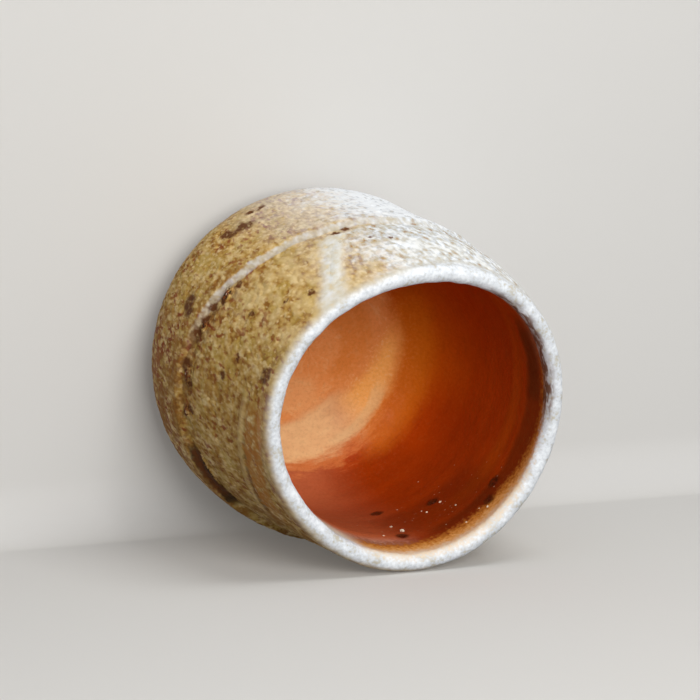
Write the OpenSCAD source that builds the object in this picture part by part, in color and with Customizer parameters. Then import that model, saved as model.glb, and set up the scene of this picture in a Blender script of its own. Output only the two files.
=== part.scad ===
// Wood-fired guinomi: a thrown stoneware cup with a wavering lip and a ledge round its body,
// a natural ash coat outside, a pale coat over the lip and a glossy lining inside.
// Millimetres, +Z up, origin at the middle of the foot's resting face.

/* [Body] */
// Height of the cup to the mean top of the lip
cup_h = 55.4; // [48:0.2:66]
// Widest diameter of the body
belly_d = 62.8; // [57:0.2:74]
// Height of the widest place of the body
belly_z = 13.4; // [9:0.2:18]
// Diameter of the flat underside, inside the rounded corner
base_d = 52; // [46:0.2:56]
// How late the wall closes in towards the lip, where 1 is a straight wall
taper = 1.8; // [1.2:0.1:2.6]
// Thickness of the wall at mid height, coats included
wall_t = 4.4; // [3:0.1:6]
// Thickness of the floor in the middle, coats included
floor_t = 4.5; // [3:0.1:7]
// Height of the rounded bottom of the hollow
bowl_h = 16; // [10:0.5:22]
// Squareness of the rounded bottom, where 2 is an ellipse
bowl_n = 2.8; // [2:0.1:4]
// Oval of the body at its foot: added to the radius along one line, taken from it across
body_oval = 0.4; // [0:0.1:1]
// Direction of the body's oval, in degrees
body_oval_at = 156; // [0:1:179]
// Swing of the body, out below and back above
sway = 0.8; // [0:0.1:1.4]
// Direction of the swing, in degrees
sway_at = 28; // [0:1:359]
// How far the foot is turned off the body's middle, along the swing
foot_off = 0.6; // [0:0.1:1.2]

/* [Lip] */
// Outer diameter of the lip
mouth_d = 55; // [48:0.2:62]
// Thickness of the lip
lip_t = 3.2; // [2.4:0.1:4.4]
// Rise of the lip on two opposite sides
lip_rise = 0.6; // [0:0.1:4]
// Direction of the two rises, in degrees
lip_rise_at = 102; // [0:1:179]
// Rise of the lip on one side
lip_tilt = 0.4; // [0:0.1:2]
// Direction of the one rise, in degrees
lip_tilt_at = 58; // [0:1:359]
// Oval of the lip: added to the radius along one line, taken from it across
lip_oval = 0.6; // [0:0.1:1.6]
// Direction of the lip's oval, in degrees
lip_oval_at = 6; // [0:1:179]
// Three-sided waver of the lip's radius
lip_tri = 0.4; // [0:0.1:1]
// Direction of one of the three sides, in degrees
lip_tri_at = 98; // [0:1:119]

/* [Ledge] */
// Mean height of the ledge round the body
ledge_h = 28.4; // [27:0.2:35]
// Rise of the ledge on one side
ledge_tilt = 3.8; // [0:0.1:4]
// Direction of the one rise, in degrees
ledge_tilt_at = 242; // [0:1:359]
// Rise of the ledge on two opposite sides
ledge_bend = 3.2; // [0:0.1:4.4]
// Direction of the two rises, in degrees
ledge_bend_at = 92; // [0:1:179]
// Mean depth of the step at the ledge
ledge_step = 0.9; // [0.4:0.1:1.6]
// Change of the step's depth from its shallow to its deep side
ledge_swell = 0.3; // [0:0.1:0.4]
// Direction of the deep side, in degrees
ledge_swell_at = 45; // [0:1:359]
// Height of the step's face
ledge_w = 1.4; // [0.6:0.1:2.4]
// Distance over which the step fades above and below
ledge_fade = 9; // [5:0.5:12]

/* [Foot] */
// Outer diameter of the foot ring
foot_d = 36; // [28:0.5:44]
// Width of the foot ring
foot_w = 5; // [3:0.2:8]
// Height of the foot ring
foot_h = 3; // [2:0.2:5]
// Rounding of the foot ring's outer bottom edge
foot_round = 0.6; // [0.2:0.1:1.2]

/* [Coats] */
// Thickness of the ash coat outside
ash_t = 0.5; // [0.3:0.05:0.9]
// Height of the ash coat's lower edge above the underside
ash_edge = 0.6; // [0.3:0.1:1.5]
// Thickness of the coat over the lip
lip_coat_t = 0.5; // [0.3:0.05:0.9]
// Reach of the lip's coat down the outside, below the middle of the lip's round
lip_drop_out = 2.2; // [1:0.1:4]
// Reach of the lip's coat down the inside, below the middle of the lip's round
lip_drop_in = 1.4; // [1:0.1:4]
// Thickness of the lining
lining_t = 0.4; // [0.25:0.05:0.8]

/* [Marks] */
// Width of the run of melted ash
run_w = 4.4; // [2:0.2:7]
// Thickness of the run
run_t = 0.5; // [0.2:0.05:0.9]
// Direction where the run leaves the ledge, in degrees
run_at = 286; // [0:1:359]
// Turn of the run on its way from the ledge to the lip, in degrees
run_turn = 19; // [0:1:40]
// Thickness of the scorched crusts along the ledge
scorch_t = 0.35; // [0.15:0.05:0.6]
// Width of the scorched crusts
scorch_w = 1.7; // [1:0.1:2.4]
// Diameter of the iron spots in the lining
iron_d = 2; // [1:0.1:3]
// Thickness of the iron spots
iron_t = 0.2; // [0.1:0.05:0.4]
// Diameter of the feldspar grains in the lining
grain_d = 0.9; // [0.5:0.1:1.6]
// Height of the feldspar grains
grain_t = 0.35; // [0.15:0.05:0.7]

/* [Hidden] */

// Scorched crusts: direction in degrees, length as a multiple of the width
SCORCHES = [[328, 1.8], [340, 1.4], [357, 2], [10, 1.3], [33, 4.7]];
// Iron spots: direction in degrees, share of the way up the hollow's wall
IRON = [[100, 0.16], [118, 0.36], [95, 0.64], [139, 0.71], [131, 0.82], [262, 0.5]];
// Feldspar grains: direction in degrees, share of the way up the hollow's wall
GRAINS = [[98, 0.54], [121, 0.41], [113, 0.44], [97, 0.43], [137, 0.9], [128, 0.86], [123, 0.06],
          [110, 0.75], [148, 0.87], [160, 0.3], [85, 0.6], [40, 0.5], [312, 0.7], [238, 0.25]];

// Columns round the cup, and rows on each stretch of its section
columns = 48;
corner_rows = 5;
low_rows = 3;
high_rows = 5;
lip_rows = 6;
wall_rows = 5;
bowl_rows = 6;
run_rows = 9;
blister_sides = 8;

belly_r = belly_d / 2;
base_r = base_d / 2;
mouth_r = mouth_d / 2;
lip_half = lip_t / 2;
lip_c = cup_h - lip_half;
joint_out = lip_c - lip_drop_out;
joint_in = lip_c - lip_drop_in;
floor_z = foot_h + floor_t;
bowl_top = floor_z + bowl_h;
// Stretch below the lip over which the wall grows from the lip's thickness to its own
thicken = 10;
// The coats meet at the thinner one's thickness
edge_out = min(ash_t, lip_coat_t);
edge_in = min(lining_t, lip_coat_t);
// Clearance under pieces fused on a surface, over the largest gap between its round and its facets
seat_gap = 0.03;
seat = belly_r * (1 - cos(180 / columns)) + seat_gap;

function share(x) = max(0, min(1, x));
function ease(x) = let (u = share(x)) u * u * (3 - 2 * u);
function wave(angle, sides, at) = cos(sides * (angle - at));

// Even outer radius of the body at an even height: an elliptic corner below, a closing wall above
function body_r(z) =
    z < belly_z
        ? base_r + (belly_r - base_r) * sqrt(1 - pow(share((belly_z - z) / (belly_z - foot_h)), 2))
        : belly_r - (belly_r - mouth_r) * pow((z - belly_z) / (lip_c - belly_z), taper);

function ledge_z(angle) =
    ledge_h + ledge_tilt * wave(angle, 1, ledge_tilt_at) + ledge_bend * wave(angle, 2, ledge_bend_at);

// The step stands proud below the ledge's line and sinks in above it
function ledge_out(angle, z) =
    let (
        gap = z - ledge_z(angle),
        half = (ledge_step + ledge_swell * wave(angle, 1, ledge_swell_at)) / 2,
        side = max(-1, min(1, -2 * gap / ledge_w)))
    half * side * (1 - ease((abs(gap) - ledge_w / 2) / ledge_fade));

function outer_r(angle, z) = body_r(z) + ledge_out(angle, z);

// Even inner radius of the hollow's wall
function inner_r(z) = body_r(z) - lip_t - (wall_t - lip_t) * ease((lip_c - z) / thicken);

function swing_off(z) = sway * sin(360 * share((z - foot_h) / (lip_c - foot_h))) - foot_off;

function middle(z) = [swing_off(z) * cos(sway_at), swing_off(z) * sin(sway_at), z];

// A point of the cup from its even radius and height, moved by the oval, the swing and the lip's waver
function on_cup(angle, r, z, lift = 0) =
    let (
        up = share((z - foot_h) / (lip_c - foot_h)),
        pull = pow(up, 3),
        waver = lip_oval * wave(angle, 2, lip_oval_at) + lip_tri * wave(angle, 3, lip_tri_at),
        rise = lip_rise * wave(angle, 2, lip_rise_at) + lip_tilt * wave(angle, 1, lip_tilt_at),
        oval = body_oval * wave(angle, 2, body_oval_at),
        radius = r + pull * waver + (1 - up) * oval)
    middle(z) + [radius * cos(angle), radius * sin(angle), pull * rise + lift];

function on_outside(angle, z, out) = on_cup(angle, outer_r(angle, z) + out, z);
function on_inside(angle, z, in) = on_cup(angle, inner_r(z) - in, z);

// Even heights of the outer rows at an angle, from the ash coat's lower edge to the lip's coat
function outer_heights(angle) =
    let (
        start = acos(1 - ash_edge / (belly_z - foot_h)),
        low = ledge_z(angle) - ledge_w / 2,
        high = ledge_z(angle) + ledge_w / 2)
    concat(
        [for (i = [0 : corner_rows])
            let (turn = start + (90 - start) * i / corner_rows)
            foot_h + (belly_z - foot_h) * (1 - cos(turn))],
        [for (i = [1 : low_rows]) belly_z + (low - belly_z) * i / low_rows],
        [for (i = [0 : high_rows]) high + (joint_out - high) * i / high_rows]);

outer_count = corner_rows + low_rows + high_rows + 2;

function angle_of(column) = 360 * column / columns;

// One row of the outside, sunk in by a depth
function outer_row(row, depth) =
    [for (c = [0 : columns - 1])
        let (angle = angle_of(c))
        on_outside(angle, outer_heights(angle)[row], -depth)];

// Rows of the outside, sunk in by a depth that is a coat's edge at the lip
function outer_rows(depth, edge) =
    [for (row = [0 : outer_count - 1]) outer_row(row, row == outer_count - 1 ? edge : depth)];

// Rows over the lip's round from the outside to the inside, sunk in by a depth
function lip_over(depth) =
    [for (i = [0 : lip_rows])
        let (turn = 180 * i / lip_rows, half = lip_half - depth)
        [for (c = [0 : columns - 1])
            on_cup(angle_of(c), mouth_r - lip_half + half * cos(turn), lip_c, half * sin(turn))]];

// Rows of the hollow from the lip's coat down to the floor, sunk in by a depth
function inner_rows(depth, edge) =
    concat(
        [for (i = [0 : wall_rows])
            let (z = joint_in + (bowl_top - joint_in) * i / wall_rows)
            [for (c = [0 : columns - 1]) on_inside(angle_of(c), z, i == 0 ? -edge : -depth)]],
        [for (i = [bowl_rows - 1 : -1 : 1])
            let (
                turn = 90 * i / bowl_rows,
                r = (inner_r(bowl_top) + depth) * pow(sin(turn), 2 / bowl_n),
                z = bowl_top - (bowl_h + depth) * pow(cos(turn), 2 / bowl_n))
            [for (c = [0 : columns - 1]) on_cup(angle_of(c), r, z)]]);

function backwards(rows) = [for (i = [len(rows) - 1 : -1 : 0]) rows[i]];

// Whether a point is lower than another or, at the same height, nearer the middle
function before(p, q) = p.z < q.z || (p.z == q.z && norm(p) < norm(q));

// Two triangles between two rows, always split from the lower row's corner to the upper row's next corner
function quad(points, a0, a1, b0, b1) =
    before(points[a0], points[b0])
        ? [[a0, b1, a1], [a0, b0, b1]]
        : [[a0, b0, a1], [a1, b0, b1]];

function strip(points, from, to, n) =
    [for (c = [0 : n - 1])
        let (d = (c + 1) % n)
        each quad(points, from * n + c, from * n + d, to * n + c, to * n + d)];

// A ring-shaped solid whose section runs through the rows and closes on itself
module ring_solid(rows) {
    points = [for (row = rows) each row];
    count = len(rows);
    polyhedron(points, [for (k = [0 : count - 1]) each strip(points, k, (k + 1) % count, columns)]);
}

// A cup-shaped solid whose section starts and ends in the middle
module cup_solid(first, rows, last) {
    points = concat([for (row = rows) each row], [first, last]);
    count = len(rows);
    start = count * columns;
    faces = concat(
        [for (c = [0 : columns - 1]) [start, c, (c + 1) % columns]],
        [for (k = [0 : count - 2]) each strip(points, k, k + 1, columns)],
        [for (c = [0 : columns - 1])
            let (edge = (count - 1) * columns)
            [start + 1, edge + (c + 1) % columns, edge + c]]);
    polyhedron(points, faces);
}

// A low round lump, from its base's middle, base ring, upper ring and top
module lump(base, ring, upper, top) {
    n = len(ring);
    points = concat(ring, upper, [base, top]);
    faces = concat(
        [for (c = [0 : n - 1]) [2 * n, c, (c + 1) % n]],
        [for (c = [0 : n - 1]) let (d = (c + 1) % n) each [[c, n + d, d], [c, n + c, n + d]]],
        [for (c = [0 : n - 1]) [2 * n + 1, n + (c + 1) % n, n + c]]);
    polyhedron(points, faces);
}

// A lump on the lining: direction, even height, diameter and thickness
module inside_lump(angle, z, d, t) {
    upper_share = 0.6;
    upper_t = 0.8;
    degrees_per_mm = 180 / (PI * inner_r(z));
    function spot(size, in) =
        [for (i = [0 : blister_sides - 1])
            let (turn = 360 * i / blister_sides)
            on_inside(angle - size * cos(turn) * degrees_per_mm, z + size * sin(turn), in)];
    lump(
        on_inside(angle, z, seat),
        spot(d / 2, seat),
        spot(upper_share * d / 2, seat + upper_t * t),
        on_inside(angle, z, seat + t));
}

// A crust just above the ledge, following its line, some widths long
module ledge_crust(angle, widths) {
    upper_share = 0.6;
    upper_t = 0.8;
    degrees_per_mm = 180 / (PI * belly_r);
    function over_ledge(turn, side, out) =
        on_outside(turn, ledge_z(turn) + (ledge_w + scorch_w) / 2 + seat + side, out);
    function patch(size, out) =
        [for (i = [0 : blister_sides - 1])
            let (turn = 360 * i / blister_sides)
            over_ledge(
                angle + size * widths * scorch_w / 2 * cos(turn) * degrees_per_mm,
                size * scorch_w / 2 * sin(turn), out)];
    lump(
        over_ledge(angle, 0, seat),
        patch(1, seat),
        patch(upper_share, seat + upper_t * scorch_t),
        over_ledge(angle, 0, seat + scorch_t));
}

module clay_wall() {
    rows = concat(
        [[for (c = [0 : columns - 1]) on_cup(angle_of(c), base_r, foot_h)]],
        outer_rows(ash_t, edge_out),
        lip_over(lip_coat_t),
        inner_rows(lining_t, edge_in));
    color("sienna") cup_solid(middle(foot_h), rows, middle(floor_z - lining_t));
}

module foot_ring() {
    arc_steps = 6;
    outer = foot_d / 2;
    inner = outer - foot_w;
    section = concat(
        [[inner, foot_h], [inner, 0]],
        [for (i = [0 : arc_steps])
            let (turn = 90 * i / arc_steps)
            [outer - foot_round + foot_round * sin(turn), foot_round - foot_round * cos(turn)]],
        [[outer, foot_h]]);
    color("peru") rotate_extrude($fn = 96) polygon(section);
}

module ash_coat() {
    rows = concat(outer_rows(0, 0), backwards(outer_rows(ash_t, edge_out)));
    color("darkkhaki") ring_solid(rows);
}

module lip_coat() {
    last = outer_count - 1;
    over = concat([outer_row(last, 0)], lip_over(0), [inner_rows(0, 0)[0]]);
    under = concat([outer_row(last, edge_out)], lip_over(lip_coat_t), [inner_rows(lining_t, edge_in)[0]]);
    color("whitesmoke") ring_solid(concat(over, backwards(under)));
}

module lining() {
    rows = concat(backwards(inner_rows(lining_t, edge_in)), inner_rows(0, 0));
    color("chocolate") cup_solid(middle(floor_z - lining_t), rows, middle(floor_z));
}

// The run leaves the ledge and turns as it goes to the lip's coat
module ash_run() {
    // Share of the width and of the thickness at points across the run
    across = [-1, -0.55, 0, 0.55, 1];
    crown = [0.25, 0.8, 1, 0.8, 0.25];
    top_share = 0.75;
    n = len(across);
    low = ledge_z(run_at) + ledge_w / 2 + seat;
    function run_row(i, lifted) =
        let (
            along = i / run_rows,
            z = low + (joint_out - low) * along,
            half = run_w / 2 * (top_share + (1 - top_share) * ease(2 * along)) * 180 / (PI * outer_r(run_at, z)))
        [for (k = [0 : n - 1])
            on_outside(run_at + run_turn * along + half * across[k], z, seat + (lifted ? run_t * crown[k] : 0))];
    // Each row goes across the top of the run and back along its base
    rows = [for (i = [0 : run_rows]) concat(run_row(i, true), backwards(run_row(i, false)))];
    points = [for (row = rows) each row];
    ends = [
        for (k = [0 : n - 2]) each [[k, k + 1, 2 * n - 2 - k], [k, 2 * n - 2 - k, 2 * n - 1 - k]]];
    last = run_rows * 2 * n;
    faces = concat(
        [for (i = [0 : run_rows - 1]) each strip(points, i, i + 1, 2 * n)],
        ends,
        [for (f = ends) [last + f[0], last + f[2], last + f[1]]]);
    color("wheat") polyhedron(points, faces);
}

module scorch_crusts() {
    color("saddlebrown")
        for (crust = SCORCHES) ledge_crust(crust[0], crust[1]);
}

module iron_spots() {
    color("black")
        for (spot = IRON) inside_lump(spot[0], bowl_top + (joint_in - bowl_top) * spot[1], iron_d, iron_t);
}

module feldspar_grains() {
    color("white")
        for (grain = GRAINS) inside_lump(grain[0], bowl_top + (joint_in - bowl_top) * grain[1], grain_d, grain_t);
}

clay_wall();
foot_ring();
ash_coat();
lip_coat();
lining();
ash_run();
scorch_crusts();
iron_spots();
feldspar_grains();
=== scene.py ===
"""Looks of a wood-fired guinomi sake cup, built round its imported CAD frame."""

import math

import bpy
import numpy as np
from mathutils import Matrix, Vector, noise


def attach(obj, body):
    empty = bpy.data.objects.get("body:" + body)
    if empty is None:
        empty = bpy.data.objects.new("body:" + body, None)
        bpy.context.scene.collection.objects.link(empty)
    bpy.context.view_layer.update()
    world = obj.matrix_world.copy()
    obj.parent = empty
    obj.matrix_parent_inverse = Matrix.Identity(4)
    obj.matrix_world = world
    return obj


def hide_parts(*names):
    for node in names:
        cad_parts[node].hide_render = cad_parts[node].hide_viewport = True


bl_info = {
    "name": "Guinomi Sake Cup",
    "version": (1, 0, 0),
    "blender": (4, 5, 0),
    "location": "View3D > Sidebar > Guinomi",
    "description": "Models a thrown stoneware cup with its fused ash, glaze and kiln marks",
    "category": "Add Mesh",
}

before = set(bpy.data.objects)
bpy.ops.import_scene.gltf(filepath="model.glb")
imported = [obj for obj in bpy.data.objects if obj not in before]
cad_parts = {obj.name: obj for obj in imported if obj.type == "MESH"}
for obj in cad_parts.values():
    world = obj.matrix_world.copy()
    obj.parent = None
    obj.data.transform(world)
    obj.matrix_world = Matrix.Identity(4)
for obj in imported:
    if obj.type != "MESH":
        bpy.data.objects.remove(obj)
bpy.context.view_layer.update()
MM = 0.001

# Scorched crusts on the ledge: direction in degrees, length in crust widths
SCORCHES = [(328, 1.8), (340, 1.4), (357, 2.0), (10, 1.3), (33, 4.7)]
# Iron spots in the lining: direction in degrees, share of the way up the wall, share of full size
IRON = [
    (101.5, 0.19, 0.9), (119.5, 0.4, 1.0), (94, 0.77, 0.9), (140.5, 0.79, 1.0), (133.5, 0.89, 0.7),
    (262, 0.5, 1.0),
]
# Fold below the lip: middle, full half width and fade in degrees, then its height and its fall in millimetres
FOLD_SPAN, FOLD_Z, FOLD_FALL = (20, 22, 34), 42.4, 8.7
# Feldspar grains in the lining: direction in degrees, share of the way up the wall, share of full size
GRAINS = [
    (97, 0.67, 1.0), (121, 0.47, 0.8), (96, 0.54, 0.7), (131, 0.93, 0.6), (113.5, 0.5, 0.6),
    (123, 0.65, 0.5), (120, 0.91, 0.5), (86.5, 0.74, 0.5), (113, 0.44, 0.4), (128, 0.88, 0.4),
    (108.5, 0.25, 0.4), (126, 0.04, 0.4), (40, 0.5, 0.7), (312, 0.7, 0.8),
]
# Direction in degrees of the longest crust, which has closed over the ledge
LONG_CRUST_AT = 36
# Golden fringe inside the lip: middle, full half width and fade in degrees
FRINGE_SPAN = (134, 58, 72)
# Gaps in the white ash beside the run: direction in degrees, height and size in millimetres
BARED = [(289, 51, 2.0), (293, 51, 2.6), (296, 49, 2.0)]
# Brown stains in the ash: direction in degrees, height and size in millimetres
STAINS = [
    (303, 17.6, 1.2), (305.5, 16.8, 1.4), (310, 15.6, 1.3), (309, 17.2, 0.8), (295, 13.6, 0.8),
    (299, 13.4, 0.7), (323, 30.2, 0.8), (330, 29.0, 0.9), (333.5, 27.6, 1.1), (338, 27.0, 1.0),
    (343.5, 26.1, 1.2), (354, 24.8, 1.2), (359.5, 25.9, 1.1), (8.5, 26.3, 0.8), (285, 35.3, 0.6),
    (289, 35.7, 0.6), (275, 43.0, 0.5), (281, 41.0, 0.5), (344, 51.6, 1.4), (335, 20.4, 1.7),
    (337.5, 22.0, 1.2), (345, 40.8, 0.8), (312, 48.4, 0.7), (352, 37.5, 0.7), (320, 45.0, 0.6),
    (330, 39.0, 0.6), (26, 23.9, 1.0), (30, 23.8, 1.4), (34, 24.0, 1.5), (38, 24.3, 1.5),
    (42, 24.7, 1.2),
]


def length(name, description, millimetres):
    """A size, given in millimetres"""
    return bpy.props.FloatProperty(
        name=name, description=description, default=millimetres * MM, precision=5, unit="LENGTH")


def direction(name, description, degrees):
    """A direction or a turn, given in degrees"""
    return bpy.props.FloatProperty(
        name=name, description=description, default=math.radians(degrees), subtype="ANGLE")


def number(name, description, default):
    """A plain number"""
    return bpy.props.FloatProperty(name=name, description=description, default=default)


def linear(channel):
    """Share of light in a screen channel from 0 to 255"""
    share_of_white = channel / 255
    if share_of_white <= 0.04045:
        return share_of_white / 12.92
    return ((share_of_white + 0.055) / 1.055) ** 2.4


def colour(name, description, red, green, blue):
    """A colour, given as screen channels from 0 to 255"""
    return bpy.props.FloatVectorProperty(
        name=name, description=description, size=4, min=0.0, max=1.0, subtype="COLOR",
        default=(linear(red), linear(green), linear(blue), 1.0))


class GuinomiForm(bpy.types.PropertyGroup):
    """Sizes of the cup"""

    cup_h: length("Height", "Height to the mean top of the lip", 55.4)
    belly_d: length("Belly", "Widest diameter of the body", 62.8)
    belly_z: length("Belly height", "Height of the widest place of the body", 13.4)
    base_d: length("Underside", "Diameter of the flat underside", 52)
    taper: number("Taper", "How late the wall closes in towards the lip", 1.8)
    wall_t: length("Wall", "Thickness of the wall at mid height", 4.4)
    floor_t: length("Floor", "Thickness of the floor in the middle", 4.5)
    bowl_h: length("Bowl height", "Height of the rounded bottom of the hollow", 16)
    bowl_n: number("Bowl squareness", "Squareness of the rounded bottom, where 2 is an ellipse", 2.8)
    thicken: length("Thickening", "Stretch over which the wall grows from the lip's thickness", 10)
    body_oval: length("Body oval", "Oval of the body at its foot", 0.4)
    body_oval_at: direction("Body oval direction", "Direction of the body's oval", 156)
    sway: length("Sway", "Swing of the body, out below and back above", 0.8)
    sway_at: direction("Sway direction", "Direction of the swing", 28)
    foot_off: length("Foot offset", "How far the foot is turned off the body's middle", 0.6)
    mouth_d: length("Mouth", "Outer diameter of the lip", 55)
    lip_t: length("Lip", "Thickness of the lip", 3.2)
    lip_rise: length("Lip rise", "Rise of the lip on two opposite sides", 0.6)
    lip_rise_at: direction("Lip rise direction", "Direction of the two rises", 102)
    lip_tilt: length("Lip tilt", "Rise of the lip on one side", 0.4)
    lip_tilt_at: direction("Lip tilt direction", "Direction of the one rise", 58)
    lip_oval: length("Lip oval", "Oval of the lip", 0.6)
    lip_oval_at: direction("Lip oval direction", "Direction of the lip's oval", 6)
    lip_tri: length("Lip waver", "Three-sided waver of the lip's radius", 0.4)
    lip_tri_at: direction("Lip waver direction", "Direction of one of the three sides", 98)
    ledge_h: length("Ledge height", "Mean height of the ledge", 28.4)
    ledge_tilt: length("Ledge tilt", "Rise of the ledge on one side", 3.8)
    ledge_tilt_at: direction("Ledge tilt direction", "Direction of the one rise", 242)
    ledge_bend: length("Ledge bend", "Rise of the ledge on two opposite sides", 3.2)
    ledge_bend_at: direction("Ledge bend direction", "Direction of the two rises", 92)
    ledge_step: length("Ledge step", "Mean depth of the step", 0.9)
    ledge_swell: length("Ledge swell", "Change of the step's depth round the cup", 0.3)
    ledge_swell_at: direction("Ledge swell direction", "Direction of the deep side", 45)
    ledge_w: length("Ledge width", "Height of the step's face", 1.4)
    ledge_fade: length("Ledge fade", "Distance over which the step fades", 9)
    foot_d: length("Foot", "Outer diameter of the foot ring", 36)
    foot_w: length("Foot width", "Width of the foot ring", 5)
    foot_h: length("Foot height", "Height of the foot ring", 3)
    foot_round: length("Foot rounding", "Rounding of the foot ring's bottom edges", 0.6)
    ash_t: length("Ash coat", "Thickness of the ash coat", 0.5)
    ash_edge: length("Ash edge", "Height of the ash coat's lower edge above the underside", 0.6)
    lip_coat_t: length("Lip coat", "Thickness of the coat over the lip", 0.5)
    lip_drop_out: length("Lip coat outside", "Reach of the lip's coat down the outside", 2.2)
    lip_drop_in: length("Lip coat inside", "Reach of the lip's coat down the inside", 1.4)
    lining_t: length("Lining", "Thickness of the lining", 0.4)
    run_w: length("Run width", "Width of the run of melted ash", 4.4)
    run_t: length("Run thickness", "Thickness of the run", 0.5)
    run_at: direction("Run direction", "Direction where the run leaves the ledge", 286)
    run_turn: direction("Run turn", "Turn of the run on its way to the lip", 19)
    scorch_t: length("Scorch thickness", "Thickness of the scorched crusts", 0.35)
    scorch_w: length("Scorch width", "Width of the scorched crusts", 1.7)
    iron_d: length("Iron spot", "Diameter of the iron spots", 2)
    iron_t: length("Iron thickness", "Thickness of the iron spots", 0.2)
    grain_d: length("Grain", "Diameter of the feldspar grains", 0.9)
    grain_t: length("Grain height", "Height of the feldspar grains", 0.35)


class GuinomiColours(bpy.types.PropertyGroup):
    """Colours of the clay, ash and glaze"""

    clay: colour("Clay", "Toasted bare clay", 150, 98, 62)
    clay_dark: colour("Dark clay", "Iron-rich flashes on the bare clay", 98, 56, 34)
    # Also used for painted glints on the ash and a painted highlight in the lining
    ash_pale_and_highlight: colour("Pale ash", "Palest grains of the ash", 230, 202, 146)
    ash_beige: colour("Beige ash", "Main tone of the ash", 206, 170, 104)
    ash_ochre: colour("Ochre ash", "Yellow tone of the ash", 186, 146, 74)
    ash_olive: colour("Olive ash", "Green-gold tone of thick ash", 186, 156, 74)
    # Also used for painted shade low on one side of the body
    ash_brown_and_shade: colour("Brown ash", "Brown grains of the ash", 146, 97, 40)
    ash_rust: colour("Rust", "Iron-red flecks low on the body", 138, 68, 32)
    ash_white: colour("White ash", "Frosted white side of the body", 240, 243, 245)
    # Also used for painted shade: in the fold's crease, on the ledge's step and in the smoke inside the lip
    stain_and_shade: colour("Stain", "Dark stains in the ash", 96, 54, 25)
    bark: colour("Bark", "Soft brown marks on the white side", 160, 122, 92)
    amber: colour("Amber", "Glassy pools near the lip", 190, 120, 48)
    # Also used for the painted shade at the lip's outer edge and the painted highlight on the ledge's step
    ledge: colour("Ledge", "Pale line along the ledge", 190, 184, 168)
    scorch: colour("Scorch", "Dark crusts on the ledge", 38, 19, 7)
    lip: colour("Lip", "Granular coat of the lip", 208, 212, 216)
    cream: colour("Cream", "Run of melted ash", 220, 213, 193)
    gold: colour("Gold", "Fringe of the lining under the lip", 222, 162, 92)
    # Also used for the painted sheen and glints of the pooled band
    peach_and_sheen: colour("Peach", "Pooled glaze round the hollow's floor", 240, 194, 136)
    apricot: colour("Apricot", "Pooled glaze on the floor's far side", 250, 180, 92)
    honey: colour("Honey", "Thin glaze above the pool", 210, 114, 16)
    orange: colour("Orange", "Glaze on the hollow's floor", 234, 150, 82)
    russet: colour("Russet", "Glaze on the hollow's wall", 182, 66, 3)
    sienna: colour("Sienna", "Dark streaks of the hollow's wall", 122, 36, 6)
    # Also used for a painted sheen on one side of the hollow's wall
    rose_and_sheen: colour("Rose", "Thin pinkish glaze near the lip", 200, 126, 88)
    iron: colour("Iron", "Melted iron spots", 62, 22, 8)
    feldspar: colour("Feldspar", "White grains in the lining", 234, 216, 190)
    paper: colour("Backdrop", "Plain sheet that the cup stands on", 214, 212, 208)
    paper_shade: colour("Backdrop shade", "Tone of the sheet in the light that it throws back", 150, 150, 152)


class GuinomiStage(bpy.types.PropertyGroup):
    """Camera, lamps and backdrop"""

    lens: number("Lens", "Focal length in millimetres", 142.16)
    camera_at: bpy.props.FloatVectorProperty(
        name="Camera", description="Place of the camera", default=(0.19832, -0.12859, 0.45787),
        subtype="TRANSLATION", unit="LENGTH")
    camera_turn: bpy.props.FloatVectorProperty(
        name="Camera rotation", description="Rotation of the camera", subtype="EULER",
        default=[math.radians(turn) for turn in (-16.109, -23.753, -176.359)])
    wall_at: length("Wall", "Distance from the cup's axis to the foot of the backdrop's wall", 35.15)
    wall_lean: direction("Wall lean", "Lean of the wall over the cup, whose side it touches", 8.33)
    reach: length("Reach", "Reach of the backdrop to each side", 900)
    sweep: length("Sweep", "Rounding between the backdrop's floor and wall", 11)
    side_lamp: number("Side lamp", "Power of the lamp over the cup's side, in watts", 1.75)
    mouth_lamp: number("Mouth lamp", "Power of the lamp over the cup's mouth, in watts", 2.7)
    fill: number("Fill", "Strength of the even light all round", 0.32)
    leak: number("Leak", "Share of the even light that passes through the backdrop to the cup", 0.18)
    even: number("Even tone", "Share of the backdrop's tone that no shadow darkens", 0.15)


def share(x):
    """Values held between 0 and 1"""
    return np.clip(x, 0.0, 1.0)


def ease(x):
    """Smooth step from 0 to 1"""
    u = share(x)
    return u * u * (3 - 2 * u)


def wave(angle, sides, at):
    """A wave round the cup with a number of crests, one of them at a direction"""
    return np.cos(sides * (angle - at))


def lip_middle(form):
    """Height of the middle of the lip's round"""
    return form.cup_h - form.lip_t / 2


def body_radius(form, z):
    """Even outer radius of the body: an elliptic corner below, a closing wall above"""
    belly, base, mouth = form.belly_d / 2, form.base_d / 2, form.mouth_d / 2
    corner = share((form.belly_z - z) / (form.belly_z - form.foot_h))
    climb = np.maximum(0.0, (z - form.belly_z) / (lip_middle(form) - form.belly_z))
    low = base + (belly - base) * np.sqrt(1 - corner ** 2)
    high = belly - (belly - mouth) * climb ** form.taper
    return np.where(z < form.belly_z, low, high)


def ledge_height(form, angle):
    """Height of the ledge's line"""
    return (form.ledge_h + form.ledge_tilt * wave(angle, 1, form.ledge_tilt_at)
            + form.ledge_bend * wave(angle, 2, form.ledge_bend_at))


def ledge_out(form, angle, z):
    """The step stands proud below the ledge's line and sinks in above it"""
    gap = z - ledge_height(form, angle)
    half = (form.ledge_step + form.ledge_swell * wave(angle, 1, form.ledge_swell_at)) / 2
    side = np.clip(-2 * gap / form.ledge_w, -1.0, 1.0)
    return half * side * (1 - ease((np.abs(gap) - form.ledge_w / 2) / form.ledge_fade))


def hollow_radius(form, z):
    """Even radius of the hollow's wall"""
    grown = ease((lip_middle(form) - z) / form.thicken)
    return body_radius(form, z) - form.lip_t - (form.wall_t - form.lip_t) * grown


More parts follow.
